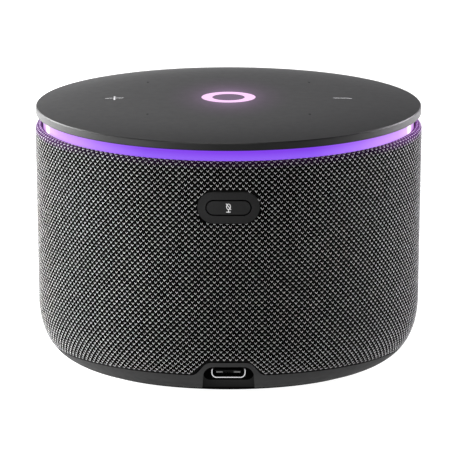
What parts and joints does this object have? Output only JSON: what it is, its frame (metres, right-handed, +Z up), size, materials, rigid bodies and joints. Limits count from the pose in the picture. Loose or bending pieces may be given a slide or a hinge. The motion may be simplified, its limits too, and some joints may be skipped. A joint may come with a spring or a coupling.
{
  "type": "smart speaker",
  "caption": "Round smart speaker: fabric-covered drum with a domed touch plate, glowing ring under it, mute key, and a base with a power inlet.",
  "frame": {"origin": "centre of the foot ring's underside, on the drum's axis", "axes": "+Z up along the drum's axis; the side with the mute key and the power inlet faces -Y; +X is to the right when looking at that side"},
  "size_m": [0.1024, 0.1024, 0.0711],
  "materials": {
    "plate_plastic": "fine matte moulded texture",
    "mark_plastic": "light grey inlay",
    "status_light": "translucent, lit pink white",
    "ring_light": "translucent, lit violet",
    "fabric": "two-tone knit, black with light grey loops",
    "shell_plastic": "matte black",
    "bezel_plastic": "matte dark grey",
    "icon_print": "white print",
    "base_plastic": "matte dark grey",
    "foot_rubber": "soft matte rubber",
    "steel": "bright plated",
    "inlet_steel": "drawn and plated",
    "inlet_plastic": "black",
    "contact_metal": "plated",
    "laminate": "solder mask",
    "lamp_plastic": "clear over phosphor",
    "foam": "closed-cell foam",
    "carrier_plastic": "white reflective",
    "ferrite": "sintered",
    "plated_iron": "zinc plated",
    "paper_cone": "pressed paper pulp",
    "coil_winding": "enamelled wire",
    "spider_cloth": "resin-stiffened cloth",
    "surround_rubber": "butyl rubber",
    "aluminium": "milled",
    "cable_film": "polyimide film",
    "wire_cover": "soft insulation"
  },
  "bodies": {
    "housing": {"top_plate": "plate_plastic", "plus_mark": "mark_plastic", "minus_mark": "mark_plastic", "status_ring": "status_light", "light_ring": "ring_light", "touch_adhesive": "foam", "touch_board": "laminate", "mic_capsules": "steel", "ring_leds": "lamp_plastic", "status_leds": "lamp_plastic", "top_carrier": "carrier_plastic", "top_screws": "steel", "touch_ribbon": "cable_film", "fabric_sleeve": "fabric", "outer_shell": "shell_plastic", "mute_bezel": "bezel_plastic", "mute_switch": "inlet_plastic", "mute_board": "laminate", "enclosure_can": "shell_plastic", "driver_baffle": "shell_plastic", "enclosure_gasket": "foam", "enclosure_screws": "steel", "driver_frame": "plated_iron", "driver_gasket": "foam", "driver_screws": "steel", "driver_front_plate": "plated_iron", "driver_magnet": "ferrite", "driver_yoke": "plated_iron", "spider": "spider_cloth", "driver_surround": "surround_rubber", "driver_terminals": "inlet_plastic", "left_radiator_frame": "shell_plastic", "left_radiator_surround": "surround_rubber", "right_radiator_frame": "shell_plastic", "right_radiator_surround": "surround_rubber", "main_board": "laminate", "processor_shield": "steel", "radio_shield": "steel", "heat_spreader": "aluminium", "board_screws": "steel", "speaker_leads": "wire_cover", "power_ribbon": "cable_film", "diffuser_cone": "shell_plastic", "base_cover": "base_plastic", "base_screws": "steel", "foot_ring": "foot_rubber", "usb_board": "laminate", "usb_screws": "steel", "usb_shell": "inlet_steel", "inlet_seal": "foot_rubber", "usb_tongue": "inlet_plastic", "usb_contacts": "contact_metal"},
    "mute_key": {"mute_button": "bezel_plastic", "mute_icon": "icon_print", "mute_plunger": "inlet_plastic"},
    "driver_diaphragm": {"driver_cone": "paper_cone", "dust_cap": "paper_cone", "voice_coil": "coil_winding"},
    "left_radiator": {"left_radiator_plate": "aluminium"},
    "right_radiator": {"right_radiator_plate": "aluminium"}
  },
  "joints": [
    {"name": "mute_press", "type": "slide", "parent": "housing", "child": "mute_key", "axis": [0, 1, 0], "range_m": [0, 0.0005], "stiffness_N_per_m": 3000, "springref_m": -0.0001},
    {"name": "driver_stroke", "type": "slide", "parent": "housing", "child": "driver_diaphragm", "axis": [0, 0, 1], "range_m": [-0.0015, 0.0015], "stiffness_N_per_m": 1600, "deforming": ["driver_surround", "spider"]},
    {"name": "left_radiator_stroke", "type": "slide", "parent": "housing", "child": "left_radiator", "axis": [1, 0, 0], "range_m": [-0.0015, 0.0015], "stiffness_N_per_m": 1200, "deforming": ["left_radiator_surround"]},
    {"name": "right_radiator_stroke", "type": "slide", "parent": "housing", "child": "right_radiator", "axis": [1, 0, 0], "range_m": [-0.0015, 0.0015], "stiffness_N_per_m": 1200, "deforming": ["right_radiator_surround"]}
  ]
}
